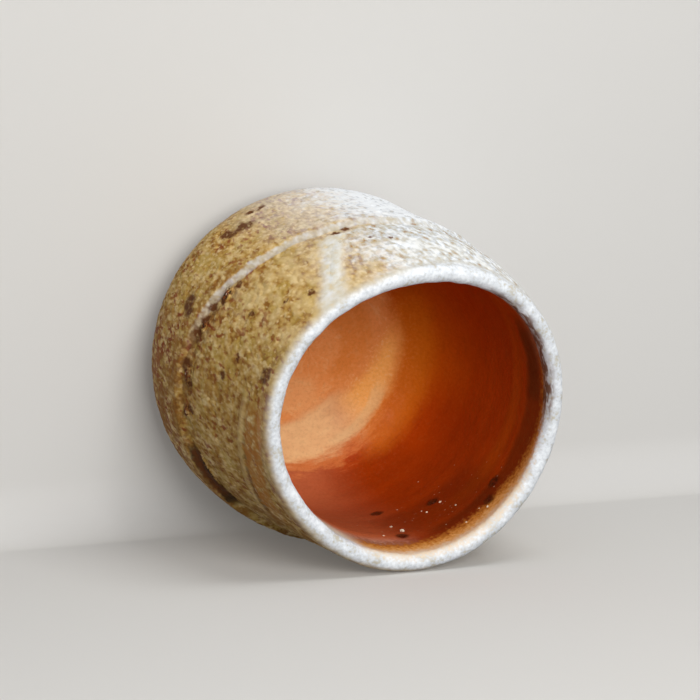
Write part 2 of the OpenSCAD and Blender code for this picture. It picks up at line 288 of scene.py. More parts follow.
def on_cup(form, angle, radius, z):
    """Points from their even radius and height, moved by the oval, the swing and the lip's waver"""
    up = share((z - form.foot_h) / (lip_middle(form) - form.foot_h))
    pull = up ** 3
    waver = (form.lip_oval * wave(angle, 2, form.lip_oval_at)
             + form.lip_tri * wave(angle, 3, form.lip_tri_at))
    rise = (form.lip_rise * wave(angle, 2, form.lip_rise_at)
            + form.lip_tilt * wave(angle, 1, form.lip_tilt_at))
    radius = radius + pull * waver + (1 - up) * form.body_oval * wave(angle, 2, form.body_oval_at)
    swing = form.sway * np.sin(2 * math.pi * up) - form.foot_off
    return np.stack([
        swing * math.cos(form.sway_at) + radius * np.cos(angle),
        swing * math.sin(form.sway_at) + radius * np.sin(angle),
        z + pull * rise], axis=-1)


def outside_points(form, angle, z, out):
    """Points over the outside, raised by a height"""
    radius = body_radius(form, z) + ledge_out(form, angle, z) + out
    return on_cup(form, angle, radius, z)


def inside_points(form, angle, z, out):
    """Points over the hollow's wall, raised by a height"""
    return on_cup(form, angle, hollow_radius(form, z) - out, z)


def run_ends(form):
    """Heights of the run's lower and upper end"""
    return ledge_height(form, form.run_at) + form.ledge_w / 2, lip_middle(form) - form.lip_drop_out


def wall_places(form, spots, wide, thick):
    """Places on the hollow's wall of spots with a direction, a share of the way up and of full size"""
    low = form.foot_h + form.floor_t + form.bowl_h
    high = lip_middle(form) - form.lip_drop_in
    return [
        (math.radians(at), low + (high - low) * up, wide * size, wide * size, thick * size)
        for at, up, size in spots]


def grain(points, size, octaves=3):
    """Fractal noise at points, with features of a size"""
    return np.array([noise.fractal(Vector(p), 1.0, 2.0, octaves) for p in points / size])


def pebbles(points, size):
    """Distance from each point to the middle of the nearest of many cells of a size"""
    return np.array([noise.voronoi(Vector(p))[0][0] for p in points / size])


def even_steps(line, step):
    """Points along a line of radius and height, about a step apart"""
    line = np.asarray(line, float)
    run = np.concatenate([[0.0], np.cumsum(np.hypot(*np.diff(line, axis=0).T))])
    stops = np.linspace(0.0, run[-1], max(2, round(run[-1] / step)) + 1)
    return np.stack([np.interp(stops, run, line[:, k]) for k in (0, 1)], axis=1)


def outer_line(form, depth):
    """Section of the outside from the ash coat's lower edge to the lip's coat"""
    z = np.linspace(form.foot_h + form.ash_edge, lip_middle(form) - form.lip_drop_out, 400)
    return np.stack([body_radius(form, z) - depth, z], axis=1)


def lip_line(form, depth):
    """Section over the lip, from the ash coat to the lining"""
    middle = lip_middle(form)
    up = np.linspace(middle - form.lip_drop_out, middle, 20)
    turn = np.linspace(0.0, math.pi, 60)[1:-1]
    down = np.linspace(middle, middle - form.lip_drop_in, 20)
    centre, half = form.mouth_d / 2 - form.lip_t / 2, form.lip_t / 2 - depth
    return np.concatenate([
        np.stack([body_radius(form, up) - depth, up], axis=1),
        np.stack([centre + half * np.cos(turn), middle + half * np.sin(turn)], axis=1),
        np.stack([hollow_radius(form, down) + depth, down], axis=1)])


def hollow_line(form, depth):
    """Section of the hollow, from the lip's coat down to the middle of its floor"""
    top = form.foot_h + form.floor_t + form.bowl_h
    wall = np.linspace(lip_middle(form) - form.lip_drop_in, top, 100)
    turn = np.linspace(math.pi / 2, 0.0, 200)[1:]
    bowl_r = (hollow_radius(form, top) + depth) * np.sin(turn) ** (2 / form.bowl_n)
    bowl_z = top - (form.bowl_h + depth) * np.maximum(np.cos(turn), 0.0) ** (2 / form.bowl_n)
    return np.concatenate([
        np.stack([hollow_radius(form, wall) + depth, wall], axis=1),
        np.stack([bowl_r, bowl_z], axis=1)])


def rows_of(piece):
    """The number on the section of each of a piece's points"""
    row = np.zeros(len(piece.data.vertices), np.float32)
    piece.data.attributes["row"].data.foreach_get("value", row)
    return np.rint(row).astype(int)


def select_points(piece, chosen):
    """Select only some of a piece's points, and stay in edit mode"""
    bpy.ops.object.mode_set(mode="OBJECT")
    for part in (piece.data.vertices, piece.data.edges, piece.data.polygons):
        part.foreach_set("select", np.zeros(len(part), bool))
    for index in chosen:
        piece.data.vertices[index].select = True
    bpy.ops.object.mode_set(mode="EDIT")
    bpy.ops.mesh.select_mode(type="VERT")


def points_of(piece):
    """Places of a piece's points"""
    flat = np.zeros(len(piece.data.vertices) * 3)
    piece.data.vertices.foreach_get("co", flat)
    return flat.reshape(-1, 3)


def move_points(piece, points):
    """Put a piece's points in new places"""
    piece.data.vertices.foreach_set("co", np.asarray(points, float).ravel())
    piece.data.update()


def keep_values(piece, name, values):
    """Keep a value for each point, which the piece's material reads"""
    kept = piece.data.attributes.new(name, "FLOAT", "POINT")
    kept.data.foreach_set("value", np.asarray(values, np.float32))


def spin_section(name, section, columns, closed=True):
    """Draw a section by extruding a point, and turn it round the cup's axis.

    Each point of the piece keeps the number of its point on the section in the attribute row."""
    bpy.ops.object.select_all(action="DESELECT")
    bpy.ops.mesh.primitive_plane_add(size=MM)
    piece = bpy.context.active_object
    piece.name = piece.data.name = name
    bpy.ops.object.mode_set(mode="EDIT")
    bpy.ops.mesh.select_mode(type="VERT")
    bpy.ops.mesh.select_all(action="SELECT")
    bpy.ops.mesh.merge(type="CENTER")
    bpy.ops.transform.translate(value=(section[0, 0], 0.0, section[0, 1]))
    for step in np.diff(section, axis=0):
        bpy.ops.mesh.extrude_vertices_move(TRANSFORM_OT_translate={"value": (step[0], 0.0, step[1])})
    bpy.ops.object.mode_set(mode="OBJECT")
    rows = piece.data.attributes.new("row", "FLOAT", "POINT")
    gaps = np.linalg.norm(points_of(piece)[:, None, ::2] - section, axis=2)
    rows.data.foreach_set("value", np.argmin(gaps, axis=1).astype(np.float32))
    if closed:
        select_points(piece, [0, len(section) - 1])
        bpy.ops.mesh.edge_face_add()
        bpy.ops.object.mode_set(mode="OBJECT")
    bpy.ops.object.modifier_add(type="SCREW")
    turn = piece.modifiers[-1]
    turn.axis, turn.steps, turn.render_steps = "Z", columns, columns
    turn.use_merge_vertices, turn.merge_threshold = True, 0.005 * MM
    bpy.ops.object.modifier_apply(modifier=turn.name)
    bpy.ops.object.mode_set(mode="EDIT")
    bpy.ops.mesh.select_all(action="SELECT")
    bpy.ops.mesh.normals_make_consistent(inside=False)
    bpy.ops.object.mode_set(mode="OBJECT")
    bpy.ops.object.shade_smooth()
    bpy.ops.object.mode_set(mode="EDIT")
    bpy.ops.mesh.select_all(action="DESELECT")
    bpy.ops.mesh.select_mode(type="EDGE")
    bpy.ops.mesh.edges_select_sharp(sharpness=math.radians(50))
    bpy.ops.mesh.mark_sharp()
    bpy.ops.object.mode_set(mode="OBJECT")
    return piece


def outward(section):
    """Unit normals of a section whose inside lies on the left of its run"""
    along = np.gradient(section, axis=0)
    along /= np.linalg.norm(along, axis=1, keepdims=True) + 1e-12
    return np.stack([along[:, 1], -along[:, 0]], axis=1)


def throw_piece(form, name, shown, hidden, columns, relief, ledged=0, closed=True):
    """Spin a section of shown and hidden points, and give it the cup's wavering form and its relief.

    The ledge steps the first ledged points of the section. The relief raises the shown ones: a function
    of the form, and of each point's place, direction, even radius and height.
    Each point keeps its height on the relief and its way along the shown section, in millimetres."""
    section = np.concatenate([shown, hidden])
    piece = spin_section(name, section, columns, closed)
    points, row = points_of(piece), rows_of(piece)
    piece.data.attributes.remove(piece.data.attributes["row"])
    angle, radius, z = np.arctan2(points[:, 1], points[:, 0]), section[row, 0], points[:, 2]
    stepped, seen = row < ledged, row < len(shown)
    even = radius[seen]
    radius[stepped] += ledge_out(form, angle[stepped], z[stepped])
    height = relief(form, on_cup(form, angle[seen], radius[seen], z[seen]), angle[seen], even, z[seen])
    normal = outward(shown)[row[seen]]
    radius[seen] += height * normal[:, 0]
    z[seen] += height * normal[:, 1]
    move_points(piece, on_cup(form, angle, radius, z))
    run = np.concatenate([[0.0], np.cumsum(np.hypot(*np.diff(shown, axis=0).T))])
    keep_values(piece, "way", run[np.minimum(row, len(shown) - 1)] / MM)
    kept_height = np.zeros(len(row))
    kept_height[seen] = height / MM
    keep_values(piece, "height", kept_height)
    return piece


def finish_piece(piece, node, material):
    """Give a piece its finish and put it on the cup's body in place of its CAD node"""
    piece.data.materials.clear()
    piece.data.materials.append(material)
    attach(piece, "root")
    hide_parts(node)


def hump(gap, width):
    """A smooth ridge of height 1 along a line, from the distance to the line"""
    return np.exp(-(gap / width) ** 2)


def window(angle, at, full, fade):
    """1 within some degrees of a direction, falling to 0 further round"""
    away = np.degrees(np.arccos(np.clip(np.cos(angle - math.radians(at)), -1.0, 1.0)))
    return ease((fade - away) / (fade - full))


def fold_gap(angle, z):
    """Height in millimetres over the fold below the lip, which falls as it goes round"""
    return z / MM - FOLD_Z + FOLD_FALL * np.sin(angle - math.radians(FOLD_SPAN[0]))


def ash_relief(form, points, angle, radius, z):
    """Rough ash: soft lumps, granules, pits, and a fold below the lip"""
    lumps = 0.10 * grain(points, 3.4 * MM)
    granules = 0.15 * (0.35 - pebbles(points, 0.85 * MM)) + 0.05 * grain(points + 0.05, 0.7 * MM, 2)
    granules *= 1 - 0.45 * ease((z - 34 * MM) / (14 * MM))
    pits = -0.16 * ease((grain(points + 0.11, 1.4 * MM, 2) - 0.35) / 0.3)
    fold = fold_gap(angle, z) + 0.5 * grain(points + 0.2, 3 * MM, 2)
    crease = (0.12 * hump(fold, 0.9) - 0.16 * hump(fold - 1.2, 0.8)) * window(angle, *FOLD_SPAN)
    return (np.clip(lumps + granules + pits + crease, -0.40, 0.08) - 0.08) * MM


def lining_relief(form, points, angle, radius, z):
    """Smooth glaze with faint throwing rings and a pooled ridge round the floor"""
    rings = 0.02 * np.sin(z / (0.8 * MM) + 0.8 * angle + 1.4 * np.sin(angle))
    rings *= ease((z - 12 * MM) / (6 * MM))
    pool = 0.25 * hump((radius - 16.4 * MM) / MM, 2.0) * window(angle, 130, 45, 85)
    pool *= ease((22 * MM - z) / (8 * MM))
    return (rings + pool + 0.08 * grain(points, 7 * MM, 2) + 0.02 * grain(points, 1.3 * MM, 2)) * MM


def lip_relief(form, points, angle, radius, z):
    """Satin lip with low lumps, which runs on into the ash outside and the lining inside"""
    lumps = 0.14 * grain(points, 3.6 * MM) + 0.06 * (0.35 - pebbles(points, 0.8 * MM))
    top = (np.clip(lumps, -0.3, 0.06) - 0.06) * MM
    below = lip_middle(form) - z
    outer = radius > form.mouth_d / 2 - form.lip_t / 2
    to_ash = np.where(outer, ease(below / (2 * MM)), 0.0)
    to_lining = np.where(outer, 0.0, ease(below / (1.2 * MM)))
    ash = ash_relief(form, points, angle, radius, z)
    lining = lining_relief(form, points, angle, radius, z)
    return top + to_ash * (ash - top) + to_lining * (lining - top)


def clay_relief(form, points, angle, radius, z):
    """Trimmed clay: tool rings and a little grit"""
    rings = 0.05 * np.sin(radius / (0.35 * MM) + angle)
    return np.clip(rings + 0.06 * grain(points, 1.5 * MM), -0.15, 0.0) * MM


class Value:
    """An output of a node in a material, on which arithmetic adds Math nodes"""

    def __init__(self, tree, socket):
        self.tree = tree
        self.socket = socket

    def node(self, kind, settings=None, sockets=None, output=0):
        """Add a node, set its settings and then its sockets, and give one of its outputs"""
        made = self.tree.nodes.new(kind)
        for name, setting in (settings or {}).items():
            if name == "stops":
                ramp = made.color_ramp
                while len(ramp.elements) < len(setting):
                    ramp.elements.new(1.0)
                for stop, (position, tone) in zip(ramp.elements, setting):
                    stop.position, stop.color = position, tone
            else:
                setattr(made, name, setting)
        for name, value in (sockets or {}).items():
            if isinstance(value, Value):
                self.tree.links.new(value.socket, made.inputs[name])
            else:
                made.inputs[name].default_value = value
        return Value(self.tree, made.outputs[output] if len(made.outputs) else None)

    def math(self, operation, *others):
        """Add a Math node whose first input is this value"""
        return self.node("ShaderNodeMath", {"operation": operation}, dict(enumerate((self, *others))))

    def __add__(self, other):
        return self.math("ADD", other)

    def __sub__(self, other):
        return self.math("SUBTRACT", other)

    def __rsub__(self, other):
        return self.node("ShaderNodeMath", {"operation": "SUBTRACT"}, {0: other, 1: self})

    def __mul__(self, other):
        return self.math("MULTIPLY", other)

    __radd__ = __add__
    __rmul__ = __mul__


def new_material(name):
    """An empty material, and the place on the piece in millimetres"""
    material = bpy.data.materials.new(name)
    material.use_nodes = True
    material.node_tree.nodes.clear()
    start = Value(material.node_tree, None)
    place = start.node("ShaderNodeTexCoord", output="Object")
    return material, place.node("ShaderNodeVectorMath", {"operation": "SCALE"}, {0: place, "Scale": 1 / MM})


def parts(vector):
    """The three coordinates of a vector"""
    split = vector.node("ShaderNodeSeparateXYZ", sockets={0: vector})
    outputs = split.socket.node.outputs
    return [Value(vector.tree, outputs[k]) for k in range(3)]


def around(place):
    """Direction round the cup in radians, and height in millimetres"""
    x, y, z = parts(place)
    return y.math("ARCTAN2", x), z


def stretch(vector, x, y, z):
    """A vector times three numbers"""
    return vector.node("ShaderNodeVectorMath", {"operation": "MULTIPLY"}, {0: vector, 1: (x, y, z)})


def shift(vector, x, y, z):
    """A vector plus three numbers"""
    return vector.node("ShaderNodeVectorMath", {"operation": "ADD"}, {0: vector, 1: (x, y, z)})


def speckle(place, size, detail=3.0, roughness=0.55):
    """Cloudy noise from 0 to 1 with features of a size in millimetres"""
    return place.node(
        "ShaderNodeTexNoise", None,
        {"Vector": place, "Scale": 1 / size, "Detail": detail, "Roughness": roughness})


def kept(place, name):
    """A value that the piece keeps for each point"""
    return place.node("ShaderNodeAttribute", {"attribute_name": name}, output="Fac")


def drawn_round(place, way, pitch):
    """Places drawn out round the cup, where one radian counts as a pitch in millimetres"""
    unit = place.node("ShaderNodeVectorMath", {"operation": "NORMALIZE"}, {0: stretch(place, 1, 1, 0)})
    down = place.node("ShaderNodeCombineXYZ", None, {"Z": way})
    return place.node(
        "ShaderNodeVectorMath", {"operation": "MULTIPLY_ADD"}, {0: unit, 1: (pitch, pitch, 0), 2: down})


def rise(value, low, high):
    """Smooth step from 0 at low to 1 at high"""
    return value.node(
        "ShaderNodeMapRange", {"interpolation_type": "SMOOTHSTEP"},
        {0: value, 1: low, 2: high, 3: 0.0, 4: 1.0})


def band(value, low, high, soft):
    """1 between low and high, with soft edges outside them"""
    return rise(value, low - soft, low) * rise(value, high + soft, high)


def blend(factor, first, second):
    """Mix of two colours"""
    return factor.node(
        "ShaderNodeMix", {"data_type": "RGBA", "clamp_factor": True}, {0: factor, 6: first, 7: second}, 2)


def ramp(value, *stops):
    """Colours along a value, from stops of position and colour"""
    return value.node("ShaderNodeValToRGB", {"stops": stops}, {0: value})


def shader_wave(angle, sides, at):
    """A wave round the cup with a number of crests, one of them at a direction"""
    return ((angle - at) * sides).math("COSINE")


def toward(angle, at, full, fade):
    """1 within some degrees of a direction, falling to 0 further round"""
    return rise(
        shader_wave(angle, 1, math.radians(at)), math.cos(math.radians(fade)), math.cos(math.radians(full)))


def ragged(place, size, depth):
    """Places shifted to and fro by noise, which gives drawn marks ragged edges"""
    cloud = place.node(
        "ShaderNodeTexNoise", None, {"Vector": place, "Scale": 1 / size, "Detail": 2.0}, "Color")
    moved = place.node(
        "ShaderNodeVectorMath", {"operation": "MULTIPLY_ADD"}, {0: cloud, 1: (depth,) * 3, 2: place})
    return shift(moved, *(-depth / 2,) * 3)


def marks(place, middles, sizes):
    """1 on round marks, from their middles and sizes in millimetres"""
    found = None
    for middle, size in zip(middles, sizes):
        gap = place.node(
            "ShaderNodeVectorMath", {"operation": "DISTANCE"}, {0: place, 1: tuple(middle)}, "Value")
        mark = rise(gap, 1.25 * size, 0.55 * size)
        found = found.math("MAXIMUM", mark) if found else mark
    return found


def outside_marks(form, place, listed, grown=1.0):
    """1 on listed marks over the outside, with direction in degrees, height and size in millimetres"""
    at = np.array(listed)
    middles = outside_points(form, np.radians(at[:, 0]), at[:, 1] * MM, 0.0) / MM
    return marks(place, middles, at[:, 2] * grown)


def glaze(base, roughness, height, depth, specular=0.3):
    """The closing shader of a material: colour, roughness and fine relief of a depth in millimetres"""
    normal = height.node(
        "ShaderNodeBump", None, {"Strength": 1.0, "Distance": depth * MM, "Height": height})
    shader = base.node("ShaderNodeBsdfPrincipled", None, {
        "Base Color": base, "Roughness": roughness, "Normal": normal, "Specular IOR Level": specular})
    shader.node("ShaderNodeOutputMaterial", None, {"Surface": shader})


def ledge_gap(form, z, angle):
    """Height above the ledge's line, in millimetres"""
    line = (shader_wave(angle, 1, form.ledge_tilt_at) * (form.ledge_tilt / MM)
            + shader_wave(angle, 2, form.ledge_bend_at) * (form.ledge_bend / MM) + form.ledge_h / MM)
    return z - line


def run_gap(form, z, angle):
    """Distance from the middle of the run of melted ash, in millimetres"""
    low, high = run_ends(form)
    middle = (z - low / MM) * (form.run_turn / (high - low) * MM) + form.run_at
    return (angle - middle).math("SINE").math("ABSOLUTE") * (form.mouth_d / 2 / MM)


def fold_height(z, angle):
    """Height in millimetres over the fold below the lip, which falls as it goes round"""
    return z + (angle - math.radians(FOLD_SPAN[0])).math("SINE") * FOLD_FALL - FOLD_Z


def fold_amber(z, angle, wander):
    """Glassy ash that has pooled between the fold and the lip"""
    over = fold_height(z, angle) + wander * 3.0
    return band(over, 1.8, 7.0, 1.4) * toward(angle, 20, 16, 32) * 0.7


def painted_low_shade(angle, gap, wander):
    """Painted shade: browner ash low on one side, where the cup lies in shade"""
    low = toward(angle, 32, 22, 54) * (rise(gap + wander * 4.0, 2.0, -6.0) * 0.4 + 0.35)
    return low.math("MAXIMUM", toward(angle, 66, 18, 40) * 0.7)


def soot(place, angle, gap, wander):
    """Dark grains that have gathered over the ledge, and soot on the step's face that also carries painted
    shadow
    """
    patchy = rise(speckle(shift(place, 6, 2, 9), 1.2, 2.0, 0.5), 0.46, 0.58)
    over = band(gap + wander * 3.0, 0.6, 3.0, 1.4) * toward(angle, 349, 20, 32)
    # Soot on the step's face round 5°, which also paints the shadow on that face
    step = band(gap + wander * 0.8, -0.7, 0.8, 0.6) * toward(angle, 5, 22, 34)
    return (over * patchy * 0.5).math("MAXIMUM", step * (patchy * 0.4 + 0.2))


def rust_flecks(place, angle, gap):
    """Iron-red flecks, which crowd low on one side and over the ledge"""
    fleck = rise(speckle(shift(place, 2, 9, 4), 1.0, 1.0, 0.5), 0.51, 0.70)
    crowd = rise(speckle(shift(place, 5, 1, 8), 4.5, 2.0), 0.40, 0.60)
    rusty = toward(angle, 8, 16, 32) * rise(gap, -1.0, -5.0)
    sooty = toward(angle, 348, 22, 42) * band(gap, 0.6, 4.0, 1.6)
    spread = rise(speckle(shift(place, 9, 4, 2), 1.3, 1.0, 0.5), 0.42, 0.60)
    clear = 1.0 - toward(angle, 304, 14, 26) * rise(gap, 0.0, 3.0) * 0.7
    return fleck * (crowd * 0.65 + 0.25) * clear + spread * (rusty * 0.8 + sooty * 0.3)


def brown_ash(colours, place, laid, angle, gap, wander, mottle, tone):
    """Ochre and beige grains with olive, pale and rusty patches, painted glints below the ledge and painted
    shade low on one side
    """
    base = ramp(
        tone, (0.36, colours.ash_brown_and_shade), (0.45, colours.ash_ochre), (0.53, colours.ash_beige),
        (0.64, colours.ash_pale_and_highlight))
    olive = rise(speckle(shift(place, 1, 6, 2), 4.0, 2.0) + wander * 0.3, 0.46, 0.62)
    base = blend(olive * 0.45, base, colours.ash_olive)
    base = blend(rise(speckle(shift(laid, 8, 8, 3), 0.9, 1.0), 0.54, 0.72) * 0.7, base, colours.ash_pale_and_highlight)
    butter = toward(angle, 312, 14, 24) * rise(gap, 0.5, 3.0) * rise(mottle, 0.38, 0.58)
    base = blend(butter * 0.4, base, colours.ash_pale_and_highlight)
    base = blend(rust_flecks(laid, angle, gap), base, colours.ash_rust)
    # Painted glints: pale specks below the ledge round 345°, standing in for sparkle on glassy grains
    glint = rise(speckle(shift(laid, 3, 3, 9), 0.7, 1.0, 0.5), 0.56, 0.70) * rise(gap, 0.0, -3.0)
    base = blend(glint * toward(angle, 345, 46, 70) * 0.6, base, colours.ash_pale_and_highlight)
    # Painted shade: browner ash low on one side of the body
    return blend(painted_low_shade(angle, gap, wander) * rise(mottle, 0.60, 0.40), base, colours.ash_brown_and_shade)


def white_side(form, place, angle, gap, wander):
    """Where frosted white ash covers the brown"""
    edge = speckle(shift(place, 4, 4, 4), 1.2) - 0.5
    faced = shader_wave(angle, 1, math.radians(225)) + wander * 0.3
    turned = faced + edge * 0.4 + rise(gap, 0.5, -2.0) * 0.12 + rise(gap, 0.5, 3.0) * 0.18
    bared = outside_marks(form, ragged(place, 1.6, 2.4), BARED)
    veil = rise(faced, 0.02, 0.55) * (rise(gap, 0.5, -1.0) * 0.1 + 0.3)
    return (rise(turned, 0.38, 0.92) * (1.0 - bared * 0.7)).math("MAXIMUM", veil)


def frosted_ash(colours, place, z, gap):
    """White ash with soft brown marks"""
    streak = speckle(stretch(place, 1.0, 1.0, 0.6), 1.0, 2.0, 0.5)
    crowd = band(gap, 0.0, 9.0, 1.5) * 0.07 + band(z, 48.5, 53.0, 1.5) * 0.05 - rise(gap, -1.0, -4.0) * 0.10
    frost = ramp(
        streak + crowd, (0.44, colours.ash_white), (0.56, colours.lip), (0.68, colours.ledge),
        (0.78, colours.bark))
    dusted = rise(speckle(shift(place, 2, 5, 7), 2.4, 2.0), 0.40, 0.60) * rise(gap, -0.5, 2.0)
    return blend(dusted * 0.3, frost, colours.cream)


def melted_ash(colours, place):
    """Cream of the melted ash in the run and beside it"""
    cloud = speckle(place, 1.6, 2.0)
    return ramp(cloud, (0.18, colours.ash_pale_and_highlight), (0.40, colours.cream), (0.80, colours.ash_white))


def ledge_tones(colours, base, place, angle, gap, wander, grit):
    """Tones along the ledge: brown below it, a pale line that is partly a painted highlight on the step,
    gathered soot with painted shadow on the step, and one closed crust
    """
    under = band(gap + wander, -3.0, -0.7, 1.0) * toward(angle, 346, 26, 40) * rise(grit, 0.66, 0.42)
    base = blend(under * 0.6, base, colours.ash_brown_and_shade)
    # Pale ash along the ledge, which is also a painted highlight on the step's face round 295°
    line = band(gap + wander * 0.8 + (grit - 0.5) * 0.8, -0.4, 0.3, 0.6)
    pale = ramp(grit, (0.40, colours.ledge), (0.70, colours.lip))
    base = blend(line * toward(angle, 295, 26, 58) * 0.65, base, pale)
    base = blend(soot(place, angle, gap, wander), base, colours.stain_and_shade)
    crusted = gap + wander * 1.6 + (grit - 0.5) * 1.6
    closed = band(crusted, 0.0, 1.3, 0.8) * toward(angle, LONG_CRUST_AT, 10, 15)
    return blend(closed * 0.92, base, colours.scorch)


def fold_tones(colours, base, z, angle, wander, mottle, tone):
    """Tones at the fold below the lip: amber over it, a pale ridge and a shaded crease"""
    base = blend(fold_amber(z, angle, wander) * rise(tone, 0.62, 0.42), base, colours.amber)
    crease = fold_height(z, angle) + wander * 1.2
    base = blend(band(crease, -0.6, 0.3, 0.7) * toward(angle, *FOLD_SPAN) * 0.3, base, colours.ash_pale_and_highlight)
    shaded = band(crease, 0.9, 1.3, 0.7) * toward(angle, 32, 14, 28) * rise(mottle, 0.40, 0.54)
    return blend(shaded * 0.6, base, colours.stain_and_shade)


def ash_colour(form, colours, place):
    """Colour and grain of the ash coat, also where it shows at the lip and round the run and the crusts"""
    angle, z = around(place)
    gap = ledge_gap(form, z, angle)
    wander = speckle(place, 3.5) - 0.5
    laid = stretch(place, 1.05, 1.05, 0.62)  # grains drawn out along the cup's axis
    grit = speckle(laid, 0.95, 1.5, 0.5)
    mottle = speckle(shift(laid, 7, 3, 5), 2.4, 2.0)
    dome = 0.95 - place.node("ShaderNodeTexVoronoi", None, {"Vector": laid, "Scale": 1 / 0.8}, "Distance")
    tone = dome * 0.14 + grit * 0.42 + mottle * 0.36 + (kept(place, "height") * 1.6 + 0.56) * 0.08
    base = brown_ash(colours, place, laid, angle, gap, wander, mottle, tone)
    base = blend(white_side(form, place, angle, gap, wander), base, frosted_ash(colours, place, z, gap))
    aside = run_gap(form, z, angle) - rise(z, 47.0, 53.0) * 0.8
    melted = rise(aside + wander * 2.4, 3.4, 0.5) * rise(gap + wander * 2.0, 1.5, 4.0)
    base = blend(melted * toward(angle, 297, 18, 30) * 0.9, base, melted_ash(colours, place))
    base = ledge_tones(colours, base, place, angle, gap, wander, grit)
    base = fold_tones(colours, base, z, angle, wander, mottle, tone)
    stained = outside_marks(form, ragged(place, 1.4, 1.8), STAINS, 1.2)
    return blend(stained * (rise(grit, 0.68, 0.48) * 0.55 + 0.42), base, colours.stain_and_shade), tone


def ash_glaze(form, colours):
    """Rough natural ash"""
    material, place = new_material("ash_glaze")
    base, tone = ash_colour(form, colours, place)
    glaze(base, rise(tone, 0.4, 0.6) * -0.15 + 0.65, tone, depth=0.07, specular=0.08)
    return material


def gilding(colours, place, angle, left):
    """Golden fringe at the lip's inner edge, from the height in millimetres left over the lip's joint.

    Gives how far it covers the lining, and its colour."""
    drips = speckle(drawn_round(place, left * 0.3, 36.0), 1.1, 2.0) - 0.5
    grains = speckle(place, 0.65, 1.0) - 0.5
    reach = toward(angle, 100, 24, 76) * 1.6 + 0.2
    over = reach + left + drips + grains * 2.4
    tones = ramp(
        rise(over, -2.2, 6.0), (0.05, colours.sienna), (0.24, colours.amber), (0.40, colours.gold),
        (0.80, colours.feldspar))
    return over, tones


def lip_way(form):
    """Length of the lip's section in millimetres"""
    return (form.lip_drop_out + form.lip_drop_in + math.pi * form.lip_t / 2) / MM


def pale_glaze(form, colours):
    """Satin white lip, bare to the ash outside with a painted grey shade where the white begins, golden and
    smoke-streaked at its inner edge, where the smoke also carries painted shade
    """
    material, place = new_material("pale_glaze")
    angle, _ = around(place)
    way = kept(place, "way")
    wander = speckle(place, 2.2) - 0.5
    grit = speckle(place, 0.55, 2.0, 0.5)
    ash, _ = ash_colour(form, colours, place)
    white = ramp(
        speckle(place, 2.6) * 0.6 + grit * 0.4, (0.36, colours.ledge), (0.47, colours.lip),
        (0.66, colours.ash_white))
    start = 3.7 - toward(angle, 190, 60, 100) * 2.4
    edge = way + wander * 1.2 - start
    # Painted shade: a grey band where the ash turns to white on the lip's outside
    base = blend(rise(edge, -1.8, -0.2) * 0.6, ash, colours.ledge)
    base = blend(rise(edge, -0.7, 0.8), base, white)
    _, gilt = gilding(colours, place, angle, lip_way(form) - way)
    gilded = lip_way(form) - way - toward(angle, 106, 26, 78) * 2.0 + wander * 1.5 + grit * 3.0
    base = blend(rise(gilded, 3.4, 0.8) * toward(angle, *FRINGE_SPAN), base, gilt)
    streak = speckle(drawn_round(place, way, 9.0), 0.8, 2.0)
    # Brown smoke streaks inside the lip round 210°, which also carry painted shade
    smoke_and_shade = rise(way + wander * 1.4, 4.8, 6.4) * toward(angle, 210, 24, 40)
    base = blend(smoke_and_shade * (rise(streak, 0.42, 0.56) * 0.55 + 0.4), base, colours.stain_and_shade)
    glaze(base, rise(grit, 0.4, 0.6) * -0.1 + 0.55, grit, depth=0.035, specular=0.25)
    return material


def wall_tones(colours, base, angle, way, wander, streak):
    """Tones of the hollow's wall: a rosy film of thin glaze with painted sheen on one side, smoke at the edge
    and a glow low on the other
    """
    glow = toward(angle, 208, 24, 56) * rise(way + wander * 6.0, 14.0, 44.0)
    base = blend(glow * 0.34, base, colours.honey)
    ring = band(way + wander * 3.0, 10.5, 13.0, 2.5) * toward(angle, 174, 36, 58)
    base = blend(ring * 0.2, base, colours.honey)
    shade = toward(angle, 124, 24, 52) * band(way + wander * 4.0, 20.0, 39.0, 5.0)
    base = blend(shade * 0.22, base, colours.sienna)
    # Thin pinkish glaze on the wall round 64°, which also carries a painted sheen
    rosy_film_and_sheen = toward(angle, 64, 8, 52) * band(way + wander * 5.0, 3.0, 41.0, 4.0)
    base = blend(rosy_film_and_sheen * 0.5, base, colours.rose_and_sheen)
    dim = toward(angle, 120, 12, 32) * band(way + wander * 5.0, 4.0, 17.0, 5.0)
    base = blend(dim * 0.6, base, colours.sienna)
    dark = band(way + wander * 3.0 + streak * 3.0, 36.0, 40.0, 3.0) * toward(angle, 116, 10, 24)
    base = blend(dark * 0.3, base, colours.sienna)
    edge = toward(angle, 162, 46, 60) * band(way + wander * 2.0, 2.2, 5.5, 2.4)
    base = blend(edge * 0.55, base, colours.iron)
    patch = toward(angle, 195, 8, 18) * band(way + wander * 2.0, 3.0, 6.0, 2.4)
    return blend(patch * 0.5, base, colours.iron)


